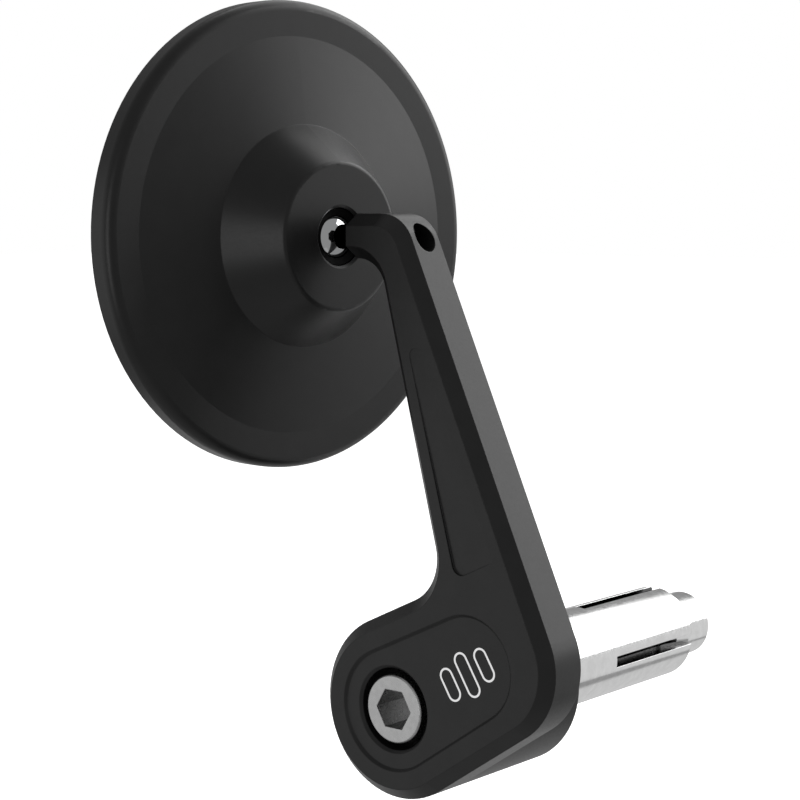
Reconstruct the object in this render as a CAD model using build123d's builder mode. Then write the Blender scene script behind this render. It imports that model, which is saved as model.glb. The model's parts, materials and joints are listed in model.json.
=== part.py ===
from build123d import *
import os
from math import asin, cos, radians, sin, sqrt

# Bar-end mirror: a flat arm bolted to the end of a handlebar by an expanding sleeve, with a round
# convex mirror on a ball joint at its tip.
#
# Millimetres. The origin is on the bolt axis, in the plane where the end of the handlebar butts
# against the arm's collar. +Y points into the handlebar, -Y away from the bike, +X forwards and
# +Z up. "Out" below is a distance from the origin along -Y.

# ---- handlebar end: collar, sleeve, wedge and bolt --------------------------------------------
collar_length = 21.55          # from the bar end to the back of the arm plate
sleeve_radius = 8.75           # slides into the 18 mm bore of a 22.2 mm handlebar
sleeve_length = 48.25          # the part that enters the bar
sleeve_bore_clearance = 1.3    # all round the bolt
spigot_step = 0.85             # the sleeve's front end is this much smaller, and seats in the collar
spigot_length = 8.0
spigot_clearance = 0.05
socket_edge_clearance = 0.05   # from the sleeve to the chamfered edge of its socket in the collar
slot_count = 4
slot_width = 2.05
slot_length = 26.5             # from the sleeve's inner end
slot_turn = -2.3               # angle of the first slot from +X towards +Z
sleeve_end_chamfer = 0.5
broken_edge_slope = 45.0       # degrees, of the panel's sides and the broken edges of the holes

bolt_radius = 4.0              # M8
bolt_length = 80.0             # under the head
bolt_head_step = 1.75          # head radius less shank radius
bolt_head_height = 8.0
bolt_head_edge = 0.25
bolt_tip_chamfer = 0.8
bolt_hole_clearance = 0.25
bolt_thread_clearance = 0.05
bolt_recess = 0.65             # head face below the arm's front face
hex_key_size = 6.0             # across flats
hex_key_clearance = 0.15       # each side of the key
hex_socket_depth = 7.5
hex_socket_turn = 0.0          # angle of a corner from +X towards +Z

washer_margin = 0.95           # washer radius less head radius
washer_thickness = 1.5
counterbore_clearance = 0.2
counterbore_chamfer = 0.5

wedge_start = 43.25            # small end of the wedge, from the bar end
wedge_length = 15.5
wedge_thin_wall = 0.6          # at its small end, round the bolt
wedge_rise = 1.6               # growth in radius over the cone
wedge_cone_length = 7.75
wedge_edge = 0.6
wedge_gap = 0.6                # all-round gap between wedge cone and sleeve mouth at rest
key_count = 2                  # in opposite slots of the sleeve
key_clearance = 0.15           # each side, between the wedge's keys and the sleeve's slots
key_recess = 0.85              # the keys stop this far below the sleeve's surface
key_start = 1.0
key_length = 6.0

# ---- arm ---------------------------------------------------------------------------------------
plate_thickness = 10.85
plate_chamfer = 2.0
lobe_radius = 15.25
# Straight edges of the outline: the angle of the outward normal from +X, and the distance from
# the bolt axis.
front_edge = (24.0, 34.1)
lower_edge = (-55.6, lobe_radius)
upper_edge = (115.6, lobe_radius)
rear_edge = (14.3, 14.45)
arm_top = 81.6
arm_end_height = 7.35
arm_end_x = -9.7
toe_radius = 12.7
crown_radius = 6.8
heel_radius = 8.0
throat_radius = 5.7

panel_depth = 0.5              # recessed panel with sloping sides, round the bolt
panel_radius = 10.35
panel_lower_edge = (-55.3, panel_radius)
panel_upper_edge = (115.5, panel_radius)
panel_end = (10.0, 25.85)
panel_end_radius = 8.75

pocket_tilt = 2.8              # the pocket's floor sinks towards its rear edge, in degrees
pocket_height = 3.0            # deeper than the pocket anywhere
pocket_rear_edge = (14.9, 18.87)
pocket_front_edge = (24.0, 30.1)
pocket_lower_edge = (-64.5, -15.45)
pocket_top = 60.05
pocket_corner_radius = 1.8
pocket_top_radius = 1.2

stud_radius = 2.25             # M5
stud_hole_clearance = 0.05
stud_insertion = 6.0
stud_below_top = 3.9           # stud's axis, below the top of the arm
neck_radius = 2.1
ball_radius = 5.0
ball_stand_off = 5.05          # ball's surface to the corner of the arm's end
swing_limit = 17.0             # degrees that the ball lets the head pan and tilt each way
stud_key_size = 2.5
stud_key_depth = 2.5
stud_chamfer = 0.4

# ---- mirror head -------------------------------------------------------------------------------
head_pan_at_rest = -6.18       # degrees about +Z, away from straight behind the arm's end
rim_radius = 40.05
rim_wall = 1.85
rim_rounding = 1.8
annulus_radius = 33.9
boss_base_radius = 18.95
boss_face_radius = 12.45
boss_edge_rounding = 0.9
# Depths are from the plane of the rim's front edge, towards the arm.
annulus_depth = 4.5
boss_base_depth = 6.6
front_of_ball_depth = 5.5
ball_proud = 0.2               # the ball stands this far out of the boss's face
mouth_lap = 0.1                # the boss's mouth is this much smaller than the ball, all round
mouth_chamfer = 0.4
glass_floor_depth = 2.9

glass_thickness = 2.0
glass_curvature = 600.0
glass_edge_depth = 0.4
seal_width = 0.5
seal_front = 0.25
seal_depth = 1.9
glass_clearance = 0.05
pad_inner_radius = 16.0
pad_margin = 1.2

seat_clearance = 0.15          # each side of the nylon seats, ball side and shell side
seat_thickness = 1.15
seat_gap_margin = 1.0          # degrees left between the two seats at full tilt
seat_mouth_margin = 3.3        # degrees left between the neck and the rear seat at full swing

cup_wall = 2.25                # least thickness round the spherical socket
cup_clearance = 0.15
cup_below_ball = 1.0           # from the cup's front to the front of the ball
cup_lap = 0.2                  # the cup reaches this far past the front seat
socket_past_middle = 0.4       # the shell's half of the socket runs this far past the ball's middle
cup_back_gap = 0.3             # between the shell's half of the socket and the cup
spring_inner_radius = 4.4
spring_margin = 0.35
spring_thickness = 0.7
plate_pocket_radius = 14.6
plate_pocket_depth = 4.9
retainer_clearance = 0.3
retainer_thickness = 1.5
retainer_hole_radius = 3.5
screw_count = 3
screw_circle_radius = 11.4
screw_radius = 1.25
screw_length = 6.0
screw_head_radius = 2.2
screw_head_height = 1.1
screw_clearance = 0.05
screw_key_size = 1.5
screw_key_depth = 0.7

edge_match = 0.01              # how closely an edge has to lie where it is looked for

# ---- worked out from the sizes above -------------------------------------------------------------
front_face = collar_length + plate_thickness
plate_middle = collar_length + plate_thickness / 2
bolt_face = front_face - bolt_recess
bolt_seat = bolt_face - bolt_head_height
bolt_head_radius = bolt_radius + bolt_head_step
washer_radius = bolt_head_radius + washer_margin
counterbore_radius = washer_radius + counterbore_clearance
counterbore_floor = bolt_seat - washer_thickness
bolt_hole_radius = bolt_radius + bolt_hole_clearance

sleeve_bore_radius = bolt_radius + sleeve_bore_clearance
spigot_radius = sleeve_radius - spigot_step
collar_socket_radius = spigot_radius + spigot_clearance
collar_socket_chamfer = sleeve_radius + socket_edge_clearance - collar_socket_radius
wedge_small_radius = bolt_radius + wedge_thin_wall
wedge_radius = wedge_small_radius + wedge_rise
key_radius = sleeve_radius - key_recess

ball_x = arm_end_x - ball_stand_off - ball_radius
ball_height = arm_top - stud_below_top
# The arm's end is hollowed about the ball, so that the head's boss can swing.
arm_end_radius = sqrt((arm_end_x - ball_x) ** 2 + (plate_thickness / 2) ** 2)
head_direction = Vector(1, 0, 0).rotate(Axis.Z, head_pan_at_rest)
ball_centre = Vector(ball_x, -plate_middle, ball_height)
head_axis = Axis(ball_centre, head_direction)
stud_axis = Axis(ball_centre, Vector(1, 0, 0))
# Section planes: local x is the radius and local y runs from the ball's centre along the axis.
head_section = Plane(origin=ball_centre, x_dir=(0, 0, 1), z_dir=Vector(0, 0, 1).cross(head_direction))
stud_section = Plane(origin=ball_centre, x_dir=(0, 0, 1), z_dir=(0, 1, 0))
rim_plane = -ball_radius - front_of_ball_depth


def out(distance):
    """Plane across the bolt axis, facing away from the bike."""
    return Plane.XZ.offset(distance)


def edge_meet(first, second):
    """Point where two straight edges, each a normal angle and a distance, cross."""
    first_angle, second_angle = radians(first[0]), radians(second[0])
    spread = sin(second_angle - first_angle)
    across = first[1] * sin(second_angle) - second[1] * sin(first_angle)
    along = second[1] * cos(first_angle) - first[1] * cos(second_angle)
    return across / spread, along / spread


def edge_at_height(edge, height):
    """Point of a straight edge at a given height."""
    angle = radians(edge[0])
    return (edge[1] - height * sin(angle)) / cos(angle), height


def edge_foot(edge):
    """Foot of the perpendicular from the bolt axis to a straight edge."""
    angle = radians(edge[0])
    return edge[1] * cos(angle), edge[1] * sin(angle)


def closed_outline(*points):
    """Straight-sided face in the sketch that is open."""
    with BuildLine() as sides:
        Polyline(*points, close=True)
    make_face(sides.edges())


def round_corner(sketch, corner, radius):
    """Round the corner of the sketch that stands at the given point."""
    fillet(sketch.vertices().sort_by_distance((corner[0], corner[1], 0))[0], radius)


def depth(distance):
    """Place along the head's axis, from a depth behind the rim's front edge."""
    return rim_plane + distance


def head_plane(along):
    """Plane across the head's axis, facing the arm."""
    return Plane(origin=ball_centre, x_dir=(0, 0, 1), z_dir=head_direction).offset(along)


def ring_edge(piece, radius, along):
    """Circular edge of a piece turned about the head's axis."""
    return piece.edges().filter_by(GeomType.CIRCLE).filter_by(
        lambda edge: abs(edge.radius - radius) < edge_match
        and abs(head_section.to_local_coords(edge.arc_center).Y - along) < edge_match
    )


def on_sphere(radius, along):
    """Point of a sphere about the ball's centre, in a section plane."""
    return sqrt(radius * radius - along * along), along


def sphere_arc(radius, start, end):
    """Arc of a sphere about the ball's centre between two places along the axis."""
    middle = (asin(start / radius) + asin(end / radius)) / 2
    ThreePointArc(
        on_sphere(radius, start),
        (radius * cos(middle), radius * sin(middle)),
        on_sphere(radius, end),
    )


def write(piece, name):
    piece.part.label = name
    export_step(piece.part, f"parts/{name}.step")


os.makedirs("parts", exist_ok=True)

# ---- arm: plate, collar and end in one forging ---------------------------------------------------
heel = edge_meet(upper_edge, rear_edge)
throat = edge_at_height(rear_edge, arm_top - arm_end_height)
crown = edge_at_height(front_edge, arm_top)
toe = edge_meet(front_edge, lower_edge)
panel_upper_corner = edge_meet(panel_upper_edge, panel_end)
panel_lower_corner = edge_meet(panel_lower_edge, panel_end)
pocket_rear_corner = edge_meet(pocket_lower_edge, pocket_rear_edge)
pocket_front_corner = edge_meet(pocket_lower_edge, pocket_front_edge)
pocket_rear_top = edge_at_height(pocket_rear_edge, pocket_top)
pocket_front_top = edge_at_height(pocket_front_edge, pocket_top)

# The pocket's floor leaves the arm's face along its front edge and sinks towards its rear edge.
pocket_foot = edge_foot(pocket_front_edge)
pocket_across = Vector(1, 0, 0).rotate(Axis.Y, -pocket_front_edge[0])
pocket_slope = radians(pocket_tilt)
pocket_floor = Plane(
    origin=(pocket_foot[0], -front_face, pocket_foot[1]),
    x_dir=pocket_across * cos(pocket_slope) - Vector(0, sin(pocket_slope), 0),
    z_dir=pocket_across * -sin(pocket_slope) - Vector(0, cos(pocket_slope), 0),
)


def on_pocket_floor(corner):
    """Corner drawn on the arm's face, dropped on to the pocket's floor."""
    dropped = pocket_floor.to_local_coords(Vector(corner[0], -front_face, corner[1]))
    return dropped.X, dropped.Y


pocket_corners = [
    on_pocket_floor(corner)
    for corner in (pocket_rear_corner, pocket_front_corner, pocket_front_top, pocket_rear_top)
]

with BuildPart() as arm:
    with BuildSketch(out(collar_length)) as outline:
        closed_outline(
            edge_foot(upper_edge),
            heel,
            throat,
            (arm_end_x, arm_top - arm_end_height),
            (arm_end_x, arm_top),
            crown,
            toe,
            edge_foot(lower_edge),
        )
        Circle(lobe_radius)
        round_corner(outline, heel, heel_radius)
        round_corner(outline, throat, throat_radius)
        round_corner(outline, crown, crown_radius)
        round_corner(outline, toe, toe_radius)
    extrude(amount=plate_thickness)
    # Both faces are chamfered all round, except along the flat end that the ball stud leaves.
    for face in (arm.faces().sort_by(Axis.Y)[0], arm.faces().sort_by(Axis.Y)[-1]):
        chamfer(face.edges().filter_by(lambda edge: edge.center().X > arm_end_x + edge_match), plate_chamfer)
    # Hollow end, about the upright line through the ball.
    with BuildSketch(Plane.XY.offset(ball_height)):
        with Locations((ball_centre.X, ball_centre.Y)):
            Circle(arm_end_radius)
    extrude(amount=arm_end_height, both=True, mode=Mode.SUBTRACT)
    # Collar that reaches back to the handlebar.
    with BuildSketch(Plane.XZ):
        Circle(lobe_radius)
    extrude(amount=plate_middle)
    # Recessed panel round the bolt.
    with BuildSketch(out(front_face)) as panel:
        closed_outline(
            edge_foot(panel_upper_edge),
            panel_upper_corner,
            panel_lower_corner,
            edge_foot(panel_lower_edge),
        )
        Circle(panel_radius)
        round_corner(panel, panel_upper_corner, panel_end_radius)
        round_corner(panel, panel_lower_corner, panel_end_radius)
    extrude(amount=-panel_depth, taper=broken_edge_slope, mode=Mode.SUBTRACT)
    # Narrowing pocket up the arm.
    with BuildSketch(pocket_floor) as pocket:
        closed_outline(*pocket_corners)
        round_corner(pocket, pocket_corners[0], pocket_corner_radius)
        round_corner(pocket, pocket_corners[2], pocket_top_radius)
        round_corner(pocket, pocket_corners[3], pocket_top_radius)
    extrude(amount=pocket_height, mode=Mode.SUBTRACT)
    # Counterbore for the bolt's head, with a broken edge.
    with BuildSketch(out(counterbore_floor)):
        Circle(counterbore_radius)
    extrude(amount=front_face - counterbore_floor, mode=Mode.SUBTRACT)
    with BuildSketch(out(front_face - panel_depth)):
        Circle(counterbore_radius + counterbore_chamfer)
    extrude(amount=-counterbore_chamfer, taper=broken_edge_slope, mode=Mode.SUBTRACT)
    # Bolt hole, and the socket in the collar that seats the sleeve's spigot.
    with BuildSketch(Plane.XZ):
        Circle(bolt_hole_radius)
    extrude(amount=front_face, mode=Mode.SUBTRACT)
    with BuildSketch(Plane.XZ):
        Circle(collar_socket_radius)
    extrude(amount=spigot_length, mode=Mode.SUBTRACT)
    with BuildSketch(Plane.XZ):
        Circle(collar_socket_radius + collar_socket_chamfer)
    extrude(amount=collar_socket_chamfer, taper=broken_edge_slope, mode=Mode.SUBTRACT)
    # Threaded hole for the ball stud, right through to the front edge.
    with BuildSketch(Plane(origin=(arm_end_x, -plate_middle, ball_height), z_dir=(1, 0, 0))):
        Circle(stud_radius + stud_hole_clearance)
    extrude(until=Until.LAST, mode=Mode.SUBTRACT)
write(arm, "arm")

# ---- bolt and washer -----------------------------------------------------------------------------
with BuildPart() as clamp_bolt:
    with BuildSketch(Plane.XY):
        closed_outline(
            (0, -bolt_face),
            (bolt_head_radius - bolt_head_edge, -bolt_face),
            (bolt_head_radius, bolt_head_edge - bolt_face),
            (bolt_head_radius, -bolt_seat),
            (bolt_radius, -bolt_seat),
            (bolt_radius, bolt_length - bolt_seat - bolt_tip_chamfer),
            (bolt_radius - bolt_tip_chamfer, bolt_length - bolt_seat),
            (0, bolt_length - bolt_seat),
        )
    revolve(axis=Axis.Y)
    with BuildSketch(out(bolt_face)):
        RegularPolygon(
            hex_key_size / 2 + hex_key_clearance, 6, major_radius=False, rotation=hex_socket_turn
        )
    extrude(amount=-hex_socket_depth, mode=Mode.SUBTRACT)
write(clamp_bolt, "clamp_bolt")

with BuildPart() as bolt_washer:
    with BuildSketch(out(counterbore_floor)):
        Circle(washer_radius)
        Circle(bolt_hole_radius, mode=Mode.SUBTRACT)
    extrude(amount=washer_thickness)
write(bolt_washer, "bolt_washer")

# ---- expanding sleeve and its wedge --------------------------------------------------------------
wedge_slope = (wedge_radius - wedge_small_radius) / wedge_cone_length
mouth_end_radius = wedge_small_radius + wedge_gap + wedge_slope * (sleeve_length - wedge_start)
mouth_start = wedge_start + (sleeve_bore_radius - wedge_small_radius - wedge_gap) / wedge_slope
# Section half-way between two slots.
between_slots = -(slot_turn + 180 / slot_count)
sleeve_section = Plane(
    origin=(0, 0, 0),
    x_dir=Vector(1, 0, 0).rotate(Axis.Y, between_slots),
    z_dir=Vector(0, 0, 1).rotate(Axis.Y, between_slots),
)

with BuildPart() as bar_sleeve:
    with BuildSketch(sleeve_section):
        closed_outline(
            (sleeve_bore_radius, -spigot_length),
            (spigot_radius, -spigot_length),
            (spigot_radius, 0),
            (sleeve_radius, 0),
            (sleeve_radius, sleeve_length - sleeve_end_chamfer),
            (sleeve_radius - sleeve_end_chamfer, sleeve_length),
            (mouth_end_radius, sleeve_length),
            (sleeve_bore_radius, mouth_start),
        )
    revolve(axis=Axis.Y)
    with BuildSketch(out(-sleeve_length)):
        with PolarLocations(sleeve_radius, slot_count, start_angle=slot_turn):
            Rectangle(2 * (sleeve_radius - bolt_radius), slot_width)
    extrude(amount=slot_length, mode=Mode.SUBTRACT)
write(bar_sleeve, "bar_sleeve")

wedge_end = wedge_start + wedge_length
with BuildPart() as wedge_nut:
    with BuildSketch(Plane.XY):
        closed_outline(
            (bolt_radius + bolt_thread_clearance, wedge_start),
            (wedge_small_radius, wedge_start),
            (wedge_radius, wedge_start + wedge_cone_length),
            (wedge_radius, wedge_end - wedge_edge),
            (wedge_radius - wedge_edge, wedge_end),
            (bolt_radius + bolt_thread_clearance, wedge_end),
        )
    revolve(axis=Axis.Y)
    # The keys ride in the sleeve's slots and stop the wedge from turning.
    key_middle = (key_radius + wedge_small_radius) / 2
    with BuildSketch(out(-(wedge_start + key_start))):
        with PolarLocations(key_middle, key_count, start_angle=slot_turn + 360 / slot_count):
            Rectangle(key_radius - wedge_small_radius, slot_width - 2 * key_clearance)
    extrude(amount=-key_length)
write(wedge_nut, "wedge_nut")

# ---- ball stud -----------------------------------------------------------------------------------
stud_end = arm_end_radius + stud_insertion
with BuildPart() as ball_stud:
    with BuildSketch(stud_section):
        with BuildLine():
            neck_start = on_sphere(ball_radius, sqrt(ball_radius ** 2 - neck_radius ** 2))
            ThreePointArc((0, -ball_radius), (ball_radius, 0), neck_start)
            Polyline(
                neck_start,
                (neck_radius, arm_end_radius),
                (stud_radius, arm_end_radius),
                (stud_radius, stud_end - stud_chamfer),
                (stud_radius - stud_chamfer, stud_end),
                (0, stud_end),
                (0, -ball_radius),
            )
        make_face()
    revolve(axis=stud_axis)
    with BuildSketch(Plane(origin=ball_centre + Vector(stud_end, 0, 0), z_dir=(1, 0, 0))):
        RegularPolygon(stud_key_size / 2, 6, major_radius=False)
    extrude(amount=-stud_key_depth, mode=Mode.SUBTRACT)
write(ball_stud, "ball_stud")

# ---- mirror head shell ---------------------------------------------------------------------------
seat_inner = ball_radius + seat_clearance
seat_outer = seat_inner + seat_thickness
ball_socket_radius = seat_outer + seat_clearance
mouth_radius = ball_radius - mouth_lap
mouth_start_along = sqrt(ball_socket_radius ** 2 - mouth_radius ** 2)
boss_face = ball_radius - ball_proud
recess_radius = rim_radius - rim_wall
joint_bore_radius = ball_socket_radius + cup_wall

with BuildPart() as head_shell:
    with BuildSketch(head_section):
        with BuildLine():
            sphere_arc(ball_socket_radius, -socket_past_middle, mouth_start_along)
            Polyline(
                (mouth_radius, mouth_start_along),
                (mouth_radius, boss_face - mouth_chamfer),
                (mouth_radius + mouth_chamfer, boss_face),
                (boss_face_radius, boss_face),
                (boss_base_radius, depth(boss_base_depth)),
                (annulus_radius, depth(annulus_depth)),
                (rim_radius, depth(annulus_depth)),
                (rim_radius, depth(0)),
                (recess_radius, depth(0)),
                (recess_radius, depth(glass_floor_depth)),
                (plate_pocket_radius, depth(glass_floor_depth)),
                (plate_pocket_radius, depth(plate_pocket_depth)),
                (joint_bore_radius, depth(plate_pocket_depth)),
                (joint_bore_radius, -socket_past_middle),
                on_sphere(ball_socket_radius, -socket_past_middle),
            )
        make_face()
    revolve(axis=head_axis)
    fillet(ring_edge(head_shell, rim_radius, depth(annulus_depth)), rim_rounding)
    fillet(ring_edge(head_shell, boss_face_radius, boss_face), boss_edge_rounding)
    with BuildSketch(head_plane(depth(plate_pocket_depth))):
        with PolarLocations(screw_circle_radius, screw_count):
            Circle(screw_radius + screw_clearance)
    extrude(amount=screw_length, mode=Mode.SUBTRACT)
write(head_shell, "head_shell")

# ---- convex glass, its seal and the adhesive pad -------------------------------------------------
glass_radius = recess_radius - seal_width - 2 * glass_clearance
crown_height = glass_curvature - sqrt(glass_curvature ** 2 - glass_radius ** 2)
front_centre = depth(glass_edge_depth) - crown_height


def glass_surface(radius, behind):
    """Point of the domed glass, a distance behind its front surface."""
    sag = glass_curvature - sqrt(glass_curvature ** 2 - radius ** 2)
    return radius, front_centre + sag + behind


# The glass is a thick disc cut by two spheres, so that its surfaces have no pole or seam in them.
front_dome = ball_centre + head_direction * (front_centre + glass_curvature)
back_dome = front_dome + head_direction * glass_thickness
with BuildPart() as mirror_glass:
    with BuildSketch(head_plane(front_centre - glass_thickness)):
        Circle(glass_radius)
    extrude(amount=crown_height + 3 * glass_thickness)
    with Locations(front_dome):
        Sphere(glass_curvature, mode=Mode.INTERSECT)
    with Locations(back_dome):
        Sphere(glass_curvature, mode=Mode.SUBTRACT)
write(mirror_glass, "mirror_glass")

with BuildPart() as glass_seal:
    with BuildSketch(head_section):
        closed_outline(
            (recess_radius - glass_clearance - seal_width, depth(seal_front)),
            (recess_radius - glass_clearance, depth(seal_front)),
            (recess_radius - glass_clearance, depth(seal_front + seal_depth)),
            (recess_radius - glass_clearance - seal_width, depth(seal_front + seal_depth)),
        )
    revolve(axis=head_axis)
write(glass_seal, "glass_seal")

pad_radius = glass_radius - pad_margin
with BuildPart() as glass_pad:
    with BuildSketch(head_section):
        with BuildLine():
            ThreePointArc(
                glass_surface(pad_inner_radius, glass_thickness),
                glass_surface((pad_inner_radius + pad_radius) / 2, glass_thickness),
                glass_surface(pad_radius, glass_thickness),
            )
            Polyline(
                glass_surface(pad_radius, glass_thickness),
                (pad_radius, depth(glass_floor_depth)),
                (pad_inner_radius, depth(glass_floor_depth)),
                glass_surface(pad_inner_radius, glass_thickness),
            )
        make_face()
    revolve(axis=head_axis)
write(glass_pad, "glass_pad")

# ---- ball joint: two nylon seats, pressure cup, disc spring, retainer and screws -------------------
seat_half_gap = seat_outer * sin(radians(swing_limit + seat_gap_margin) / 2)
seat_mouth_angle = asin(neck_radius / seat_inner) + radians(swing_limit + seat_mouth_margin)
seat_mouth_radius = seat_inner * sin(seat_mouth_angle)
lip_inner_along = sqrt(seat_inner ** 2 - seat_mouth_radius ** 2)
lip_outer_along = sqrt(seat_outer ** 2 - (mouth_radius - seat_clearance) ** 2)

with BuildPart() as rear_ball_seat:
    with BuildSketch(head_section):
        with BuildLine():
            sphere_arc(seat_inner, seat_half_gap, lip_inner_along)
            Line(on_sphere(seat_inner, lip_inner_along), on_sphere(seat_outer, lip_outer_along))
            sphere_arc(seat_outer, lip_outer_along, seat_half_gap)
            Line(on_sphere(seat_outer, seat_half_gap), on_sphere(seat_inner, seat_half_gap))
        make_face()
    revolve(axis=head_axis)
write(rear_ball_seat, "rear_ball_seat")

cup_front = ball_radius - cup_below_ball
front_seat_reach = cup_front - cup_lap
with BuildPart() as front_ball_seat:
    with BuildSketch(head_section):
        with BuildLine():
            sphere_arc(seat_inner, -front_seat_reach, -seat_half_gap)
            Line(on_sphere(seat_inner, -seat_half_gap), on_sphere(seat_outer, -seat_half_gap))
            sphere_arc(seat_outer, -seat_half_gap, -front_seat_reach)
            Line(on_sphere(seat_outer, -front_seat_reach), on_sphere(seat_inner, -front_seat_reach))
        make_face()
    revolve(axis=head_axis)
write(front_ball_seat, "front_ball_seat")

cup_back = socket_past_middle + cup_back_gap
with BuildPart() as pressure_cup:
    with BuildSketch(head_section):
        with BuildLine():
            sphere_arc(ball_socket_radius, -cup_front, -cup_back)
            Polyline(
                on_sphere(ball_socket_radius, -cup_back),
                (joint_bore_radius - cup_clearance, -cup_back),
                (joint_bore_radius - cup_clearance, -cup_front),
                on_sphere(ball_socket_radius, -cup_front),
            )
        make_face()
    revolve(axis=head_axis)
write(pressure_cup, "pressure_cup")

retainer_back = depth(plate_pocket_depth)
retainer_front = retainer_back - retainer_thickness
spring_outer_radius = joint_bore_radius - spring_margin
with BuildPart() as disc_spring:
    with BuildSketch(head_section):
        closed_outline(
            (spring_inner_radius, retainer_back),
            (spring_outer_radius, -cup_front - spring_thickness),
            (spring_outer_radius, -cup_front),
            (spring_inner_radius, retainer_back + spring_thickness),
        )
    revolve(axis=head_axis)
write(disc_spring, "disc_spring")

with BuildPart() as retainer_plate:
    with BuildSketch(head_plane(retainer_front)):
        Circle(plate_pocket_radius - retainer_clearance)
        Circle(retainer_hole_radius, mode=Mode.SUBTRACT)
        with PolarLocations(screw_circle_radius, screw_count):
            Circle(screw_radius + screw_clearance, mode=Mode.SUBTRACT)
    extrude(amount=retainer_thickness)
write(retainer_plate, "retainer_plate")

with BuildPart() as retainer_screws:
    with BuildSketch(head_plane(retainer_front)):
        with PolarLocations(screw_circle_radius, screw_count):
            Circle(screw_head_radius)
    extrude(amount=-screw_head_height)
    with BuildSketch(head_plane(retainer_front)):
        with PolarLocations(screw_circle_radius, screw_count):
            Circle(screw_radius)
    extrude(amount=screw_length)
    with BuildSketch(head_plane(retainer_front - screw_head_height)):
        with PolarLocations(screw_circle_radius, screw_count):
            RegularPolygon(screw_key_size / 2, 6, major_radius=False)
    extrude(amount=screw_key_depth, mode=Mode.SUBTRACT)
write(retainer_screws, "retainer_screws")
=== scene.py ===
import json
import math

import bmesh
import bpy
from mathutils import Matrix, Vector


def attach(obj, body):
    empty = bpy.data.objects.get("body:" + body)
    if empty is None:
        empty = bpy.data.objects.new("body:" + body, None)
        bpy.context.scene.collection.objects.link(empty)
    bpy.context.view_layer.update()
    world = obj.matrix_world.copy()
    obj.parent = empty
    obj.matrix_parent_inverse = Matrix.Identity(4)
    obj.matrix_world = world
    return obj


# Looks of a bar-end mirror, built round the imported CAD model. Metres; +Y runs into the handlebar,
# -Y away from the bike, +X forwards, +Z up.

MM = 0.001
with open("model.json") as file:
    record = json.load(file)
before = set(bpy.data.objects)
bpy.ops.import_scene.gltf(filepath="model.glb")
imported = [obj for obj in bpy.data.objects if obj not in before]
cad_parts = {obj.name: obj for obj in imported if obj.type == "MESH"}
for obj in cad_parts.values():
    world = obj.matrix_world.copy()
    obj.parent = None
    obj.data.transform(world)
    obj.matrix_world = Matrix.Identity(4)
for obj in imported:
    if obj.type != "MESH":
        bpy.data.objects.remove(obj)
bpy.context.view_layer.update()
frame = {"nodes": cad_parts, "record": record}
nodes = frame["nodes"]
record = frame["record"]
joints = {joint["name"]: joint for joint in record["behaviour"]["joints"]}
mounts = {mount["name"]: mount for mount in record["mounts"]}
scene = bpy.context.scene
scene.view_settings.view_transform = "Standard"


def grey(level):
    return (level, level, level)


def opaque(colour):
    return (*colour, 1.0)


# ---- materials ---------------------------------------------------------------------------------
NOISE_ROUGHNESS = 0.55
RAMP_START, RAMP_END = 0.35, 0.65        # stretch of a noise over which a finish changes
BEVEL_SAMPLES = 6
MIX_A, MIX_B, MIX_RESULT = 6, 7, 2       # colour sockets of a Mix node


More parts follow.
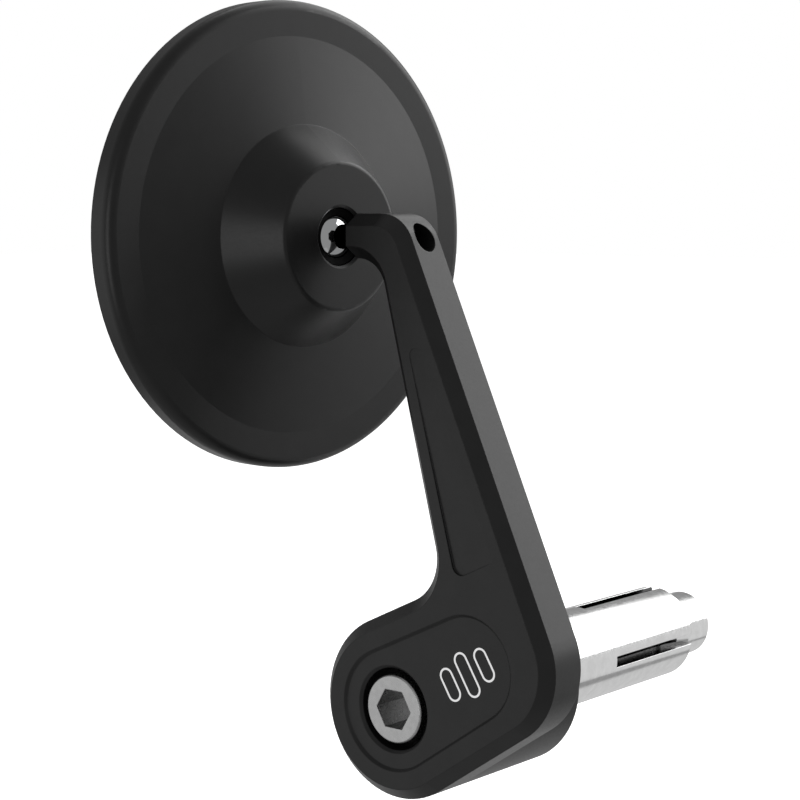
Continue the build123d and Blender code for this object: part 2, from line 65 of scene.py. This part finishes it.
class Shader:
    """A material's node tree, with the few node set-ups that the finishes below share."""

    def __init__(self, name, colour, metallic=0.0, roughness=0.5, **sockets):
        self.material = bpy.data.materials.new(name)
        self.material.use_nodes = True
        self.tree = self.material.node_tree
        self.shader = self.tree.nodes["Principled BSDF"]
        self.set("Base Color", opaque(colour))
        self.set("Metallic", metallic)
        self.set("Roughness", roughness)
        for socket, value in sockets.items():
            self.set(socket.replace("_", " "), value)
        self.coordinates = self.tree.nodes.new("ShaderNodeTexCoord").outputs["Object"]
        self.normal = None

    def set(self, socket, value):
        self.shader.inputs[socket].default_value = value

    def node(self, kind, **values):
        """New node; each value goes to its socket, or to the node's setting of that name."""
        made = self.tree.nodes.new("ShaderNode" + kind)
        for name, value in values.items():
            if name in made.inputs:
                made.inputs[name].default_value = value
            else:
                setattr(made, name, value)
        return made

    def link(self, source, target):
        self.tree.links.new(source, target)

    def noise(self, scale, detail=3.0):
        """Cloudy pattern, with about as many features in a metre as the scale says."""
        made = self.node("TexNoise", Scale=scale, Detail=detail, Roughness=NOISE_ROUGHNESS)
        self.link(self.coordinates, made.inputs["Vector"])
        return made.outputs["Fac"]

    def ramp(self, source, low, high):
        """Colour that runs from low to high as the source does."""
        made = self.node("ValToRGB")
        for stop, place, colour in zip(made.color_ramp.elements, (RAMP_START, RAMP_END), (low, high)):
            stop.position = place
            stop.color = opaque(colour)
        self.link(source, made.inputs["Fac"])
        return made.outputs["Color"]

    def colour_between(self, source, low, high):
        self.link(self.ramp(source, low, high), self.shader.inputs["Base Color"])

    def roughness_between(self, source, low, high):
        self.link(self.ramp(source, grey(low), grey(high)), self.shader.inputs["Roughness"])

    def reach(self, centre):
        """Distance from a point; a missing coordinate gives the distance from the line along it."""
        away = self.node("VectorMath", operation="SUBTRACT")
        self.link(self.coordinates, away.inputs[0])
        away.inputs[1].default_value = [0.0 if value is None else value for value in centre]
        flat = self.node("VectorMath", operation="MULTIPLY")
        self.link(away.outputs["Vector"], flat.inputs[0])
        flat.inputs[1].default_value = [0.0 if value is None else 1.0 for value in centre]
        length = self.node("VectorMath", operation="LENGTH")
        self.link(flat.outputs["Vector"], length.inputs[0])
        return length.outputs["Value"]

    def colour_split(self, source, distance, limit, within, low, high):
        """One colour up to a distance, and beyond it a colour that varies with the source."""
        beyond = self.node("Math", operation="GREATER_THAN")
        self.link(distance, beyond.inputs[0])
        beyond.inputs[1].default_value = limit
        mix = self.node("Mix", data_type="RGBA")
        self.link(beyond.outputs["Value"], mix.inputs["Factor"])
        mix.inputs[MIX_A].default_value = opaque(within)
        self.link(self.ramp(source, low, high), mix.inputs[MIX_B])
        self.link(mix.outputs[MIX_RESULT], self.shader.inputs["Base Color"])

    def soften_edges(self, radius):
        """Round every edge a little in the shading."""
        made = self.node("Bevel", Radius=radius)
        made.samples = BEVEL_SAMPLES
        self.normal = made.outputs["Normal"]

    def bump(self, source, strength, height):
        """Relief in the shading, over the softened edges where there are any."""
        made = self.node("Bump", Strength=strength, Distance=height)
        self.link(source, made.inputs["Height"])
        if self.normal is not None:
            self.link(self.normal, made.inputs["Normal"])
        self.normal = made.outputs["Normal"]
        self.link(self.normal, self.shader.inputs["Normal"])

    def rings(self, axis, scale, distortion):
        """Even bands across an axis, as a turning tool leaves them."""
        made = self.node("TexWave", Scale=scale, Distortion=distortion, Detail=1.0)
        made.wave_type = "BANDS"
        made.bands_direction = axis
        self.link(self.coordinates, made.inputs["Vector"])
        return made.outputs["Fac"]


def blasted_black(name, dark, light, smooth, rough, grain):
    """Black anodising over blasted metal: a fine even grain, faint clouding and softly broken edges."""
    made = Shader(name, light, roughness=rough, Specular_IOR_Level=0.5)
    made.soften_edges(radius=0.22 * MM)
    made.colour_between(made.noise(scale=220.0), dark, light)
    made.roughness_between(made.noise(scale=2600.0, detail=2.0), smooth, rough)
    made.bump(made.noise(scale=5200.0, detail=2.0), strength=grain, height=0.02 * MM)
    return made.material


def turned_metal(name, dull, bright, smooth, rough, painted_shade_within=None):
    """Aluminium turned about the bolt's axis; metal within a radius of that axis, as in the slots, is painted
    dark as shade.
    """
    made = Shader(name, bright, metallic=1.0, roughness=rough)
    made.soften_edges(radius=0.15 * MM)
    haze = made.noise(scale=500.0)
    if painted_shade_within is None:
        made.colour_between(haze, dull, bright)
    else:
        # Painted shade: metal nearer the bolt's axis than the given radius is coloured near black.
        from_bolt_axis = made.reach((0.0, None, 0.0))
        made.colour_split(haze, from_bolt_axis, painted_shade_within, grey(0.03), dull, bright)
    made.roughness_between(made.noise(scale=1400.0), smooth, rough)
    made.bump(made.rings("Y", scale=1500.0, distortion=0.3), strength=0.03, height=0.01 * MM)
    return made.material


def plated_steel(name, dull, bright, smooth, rough):
    """Zinc-plated or oiled steel: a faintly mottled sheen."""
    made = Shader(name, bright, metallic=1.0, roughness=rough)
    made.soften_edges(radius=0.25 * MM)
    made.colour_between(made.noise(scale=900.0), dull, bright)
    made.roughness_between(made.noise(scale=2500.0), smooth, rough)
    made.bump(made.noise(scale=4000.0), strength=0.04, height=0.01 * MM)
    return made.material


def chrome_ball(name, centre, radius):
    """Polished ball; the neck beyond it is painted black as shade and dark reflection."""
    made = Shader(name, (0.86, 0.87, 0.88), metallic=1.0, roughness=0.05)
    from_centre = made.reach(centre)
    polished = (0.80, 0.81, 0.82)
    # Painted shade and dark reflection: past the given distance from the ball's centre, the neck is coloured
    # near black.
    made.colour_split(made.noise(scale=300.0), from_centre, radius, polished, grey(0.006), grey(0.010))
    made.roughness_between(made.noise(scale=1200.0, detail=4.0), 0.03, 0.08)
    made.bump(made.noise(scale=900.0), strength=0.02, height=0.01 * MM)
    return made.material


def silvered_glass(name):
    """Silvered mirror: a faint blue-grey cast, with wipe haze in the roughness."""
    cast = (0.80, 0.84, 0.86)
    made = Shader(name, cast, metallic=1.0, roughness=0.02, Coat_Weight=0.6, Coat_Roughness=0.01)
    made.colour_between(made.noise(scale=18.0), (0.77, 0.82, 0.85), (0.83, 0.86, 0.87))
    made.roughness_between(made.noise(scale=60.0, detail=5.0), 0.012, 0.035)
    made.bump(made.noise(scale=40.0), strength=0.01, height=0.01 * MM)
    return made.material


def soft_black(name, dark, light, rough, grain, gloss):
    """Rubber, foam or nylon: matt and slightly grained."""
    made = Shader(name, light, roughness=rough, Specular_IOR_Level=gloss)
    made.colour_between(made.noise(scale=900.0), dark, light)
    made.roughness_between(made.noise(scale=2200.0), rough - 0.08, rough + 0.06)
    made.bump(made.noise(scale=4000.0), strength=grain, height=0.05 * MM)
    return made.material


def white_print(name):
    """White pad print, which glows a little so that it stays white in shade."""
    made = Shader(name, grey(0.90), roughness=0.45, Emission_Strength=0.35)
    made.set("Emission Color", opaque(grey(1.0)))
    made.colour_between(made.noise(scale=2500.0), grey(0.84), grey(0.92))
    made.roughness_between(made.noise(scale=3500.0), 0.38, 0.52)
    made.bump(made.noise(scale=9000.0), strength=0.1, height=0.01 * MM)
    return made.material


BALL_CENTRE = joints["head_pan"]["pos_m"]
BALL_RADIUS = 5.0 * MM
NECK_SHADE_START = 0.03 * MM                   # beyond the ball's surface, where the neck's painted shade begins
SLEEVE_RADIUS = mounts["bar_plug"]["dims"]["r_mm"] * MM
SLEEVE_SKIN = 0.15 * MM                  # bright; nearer the axis, as in the slots, the metal is painted dark as shade
aluminium = {"dull": grey(0.86), "bright": grey(0.93), "smooth": 0.10, "rough": 0.16}
finishes = {
    "black_anodised": blasted_black(
        "black_anodised", dark=grey(0.006), light=grey(0.009), smooth=0.36, rough=0.42, grain=0.14
    ),
    "black_shell": blasted_black(
        "black_shell", dark=grey(0.006), light=grey(0.008), smooth=0.33, rough=0.38, grain=0.08
    ),
    "bright_aluminium": turned_metal("bright_aluminium", **aluminium),
    "sleeve_aluminium_slot_shade": turned_metal(
        "sleeve_aluminium_slot_shade", **aluminium, painted_shade_within=SLEEVE_RADIUS - SLEEVE_SKIN
    ),
    "bolt_steel": plated_steel("bolt_steel", dull=grey(0.52), bright=grey(0.57), smooth=0.26, rough=0.32),
    "ball_chrome": chrome_ball("ball_chrome", BALL_CENTRE, BALL_RADIUS + NECK_SHADE_START),
    "mirror_glass": silvered_glass("mirror_glass"),
    "seal_rubber": soft_black(
        "seal_rubber", dark=grey(0.008), light=grey(0.014), rough=0.62, grain=0.10, gloss=0.4
    ),
    "pad_foam": soft_black(
        "pad_foam", dark=grey(0.030), light=grey(0.050), rough=0.85, grain=0.40, gloss=0.3
    ),
    "seat_nylon": soft_black(
        "seat_nylon", dark=grey(0.001), light=grey(0.002), rough=0.60, grain=0.08, gloss=0.05
    ),
    "spring_steel": plated_steel("spring_steel", dull=grey(0.28), bright=grey(0.38), smooth=0.25, rough=0.40),
    "retainer_steel": plated_steel(
        "retainer_steel", dull=grey(0.44), bright=grey(0.52), smooth=0.28, rough=0.40
    ),
    "white_print": white_print("white_print"),
}
slots = {entry["node"]: entry["material_slot"] for entry in record["subparts"]}

for node_name, piece in nodes.items():
    finish = "sleeve_aluminium_slot_shade" if node_name == "bar_sleeve" else slots[node_name]
    piece.data.materials.clear()
    piece.data.materials.append(finishes[finish])


# ---- printed mark on the recessed panel ----------------------------------------------------------
# Millimetres; the centre is (forwards, up) from the bolt's axis.
MARK_CENTRE = (15.5, 8.2)
MARK_TURN = math.radians(32.0)
PANEL_LEVEL = 31.9                       # the panel's floor, outboard of the bar's end
CAPSULE_SPACING = 4.0
CAPSULE_HALF_WIDTH = 1.35
CAPSULE_HALF_HEIGHTS = (2.9, 3.9, 2.9)
CAPSULE_END_STEPS = 14
PRINT_LINE = 0.34
PRINT_THICKNESS = 0.02


def capsule(half_width, half_height):
    """Outline of an upright capsule about its own centre."""
    straight = half_height - half_width
    turns = [math.pi * step / CAPSULE_END_STEPS for step in range(CAPSULE_END_STEPS + 1)]
    top = [(half_width * math.cos(turn), straight + half_width * math.sin(turn)) for turn in turns]
    return top + [(-x, -y) for x, y in top]


def printed_mark():
    """Three capsule outlines in a row, as one thin raised print."""
    shape = bmesh.new()
    across = Vector((math.cos(MARK_TURN), 0.0, math.sin(MARK_TURN)))
    along = Vector((-math.sin(MARK_TURN), 0.0, math.cos(MARK_TURN)))
    middle = Vector((MARK_CENTRE[0], -PANEL_LEVEL, MARK_CENTRE[1]))
    for place, half_height in zip((-1, 0, 1), CAPSULE_HALF_HEIGHTS):
        offset = place * CAPSULE_SPACING
        rings = []
        for rise in (0.0, PRINT_THICKNESS):
            for inset in (0.0, PRINT_LINE):
                outline = capsule(CAPSULE_HALF_WIDTH - inset, half_height - inset)
                rings.append([
                    shape.verts.new((middle + across * (offset + x) + along * y - Vector((0, rise, 0))) * MM)
                    for x, y in outline
                ])
        outer_low, inner_low, outer_top, inner_top = rings
        walls = (
            (outer_top, inner_top),
            (inner_top, inner_low),
            (inner_low, outer_low),
            (outer_low, outer_top),
        )
        count = len(outer_low)
        for first in range(count):
            then = (first + 1) % count
            for a, b in walls:
                shape.faces.new((a[first], a[then], b[then], b[first]))
    bmesh.ops.recalc_face_normals(shape, faces=shape.faces)
    mesh = bpy.data.meshes.new("arm_mark")
    shape.to_mesh(mesh)
    shape.free()
    mark = bpy.data.objects.new("arm_mark", mesh)
    scene.collection.objects.link(mark)
    mesh.materials.append(finishes["white_print"])
    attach(mark, "arm")


printed_mark()


# ---- stage: floor, light and camera --------------------------------------------------------------
FLOOR_HEIGHT = -0.15
FLOOR_HALF_WIDTH = 8.0
ROOM_LEVEL = 0.28
LIGHT_AIM = Vector((0.0, -0.03, 0.06))
CAMERA_PLACE = Vector((204.33, -275.91, 82.13)) * MM
CAMERA_AZIMUTH = math.radians(39.728)
CAMERA_ELEVATION = math.radians(5.516)
LENS = 88.43                             # millimetres, as is the sensor's width
SENSOR_WIDTH = 36.0
CLIP_START, CLIP_END = 0.01, 50.0


def area_light(name, direction, distance, size, power):
    """Rectangular soft box that looks at the object from a direction."""
    data = bpy.data.lights.new(name, "AREA")
    data.shape = "RECTANGLE"
    data.size, data.size_y = size
    data.energy = power
    box = bpy.data.objects.new(name, data)
    scene.collection.objects.link(box)
    away = Vector(direction).normalized()
    box.location = LIGHT_AIM + away * distance
    box.rotation_mode = "QUATERNION"
    box.rotation_quaternion = away.to_track_quat("Z", "Y")
    box.visible_camera = False


def pale_floor():
    """White paper below the object, which doesn't light it, shade it or show in it."""
    mesh = bpy.data.meshes.new("floor")
    corners = [
        (x * FLOOR_HALF_WIDTH, y * FLOOR_HALF_WIDTH, FLOOR_HEIGHT)
        for x, y in ((-1, -1), (1, -1), (1, 1), (-1, 1))
    ]
    mesh.from_pydata(corners, [], [(0, 1, 2, 3)])
    floor = bpy.data.objects.new("floor", mesh)
    scene.collection.objects.link(floor)
    made = Shader("floor_paper", grey(0.92), roughness=0.9, Emission_Strength=1.0)
    made.set("Emission Color", opaque(grey(1.0)))
    made.colour_between(made.noise(scale=3.0), grey(0.91), grey(0.93))
    mesh.materials.append(made.material)
    floor.visible_glossy = False
    floor.visible_diffuse = False
    floor.visible_shadow = False


def studio_world():
    """White backdrop to the camera; a dim even room to everything else."""
    world = bpy.data.worlds.new("studio")
    scene.world = world
    world.use_nodes = True
    tree = world.node_tree
    tree.nodes.clear()
    link = tree.links.new
    path = tree.nodes.new("ShaderNodeLightPath")
    backdrop = tree.nodes.new("ShaderNodeBackground")
    backdrop.inputs["Color"].default_value = opaque(grey(1.0))
    room = tree.nodes.new("ShaderNodeBackground")
    room.inputs["Color"].default_value = opaque(grey(ROOM_LEVEL))
    mix = tree.nodes.new("ShaderNodeMixShader")
    out = tree.nodes.new("ShaderNodeOutputWorld")
    link(path.outputs["Is Camera Ray"], mix.inputs["Fac"])
    link(room.outputs["Background"], mix.inputs[1])
    link(backdrop.outputs["Background"], mix.inputs[2])
    link(mix.outputs["Shader"], out.inputs["Surface"])


def place_camera():
    """Camera at the viewing angle and distance that the reference view needs."""
    data = bpy.data.cameras.new("camera")
    data.lens = LENS
    data.sensor_width = SENSOR_WIDTH
    data.clip_start, data.clip_end = CLIP_START, CLIP_END
    camera = bpy.data.objects.new("camera", data)
    scene.collection.objects.link(camera)
    camera.location = CAMERA_PLACE
    camera.rotation_euler = (math.pi / 2 - CAMERA_ELEVATION, 0.0, CAMERA_AZIMUTH)
    scene.camera = camera


pale_floor()
studio_world()
area_light("overhead", direction=(-0.10, 0.66, 0.75), distance=0.9, size=(0.8, 0.7), power=2.2)
area_light("back_right", direction=(0.42, 0.80, 0.42), distance=1.1, size=(1.0, 0.9), power=5.7)
area_light("low_right", direction=(0.52, 0.80, -0.24), distance=1.1, size=(0.9, 0.6), power=0.6)
area_light("front", direction=(0.30, -0.93, -0.05), distance=1.2, size=(0.5, 0.8), power=1.5)
area_light("front_left", direction=(-0.64, -0.77, -0.10), distance=1.3, size=(1.4, 1.2), power=2.0)
area_light("below_back", direction=(-0.45, 0.72, -0.52), distance=1.0, size=(1.6, 1.3), power=2.0)
area_light("below", direction=(0.10, -0.20, -0.97), distance=0.9, size=(1.0, 1.0), power=0.25)
place_camera()
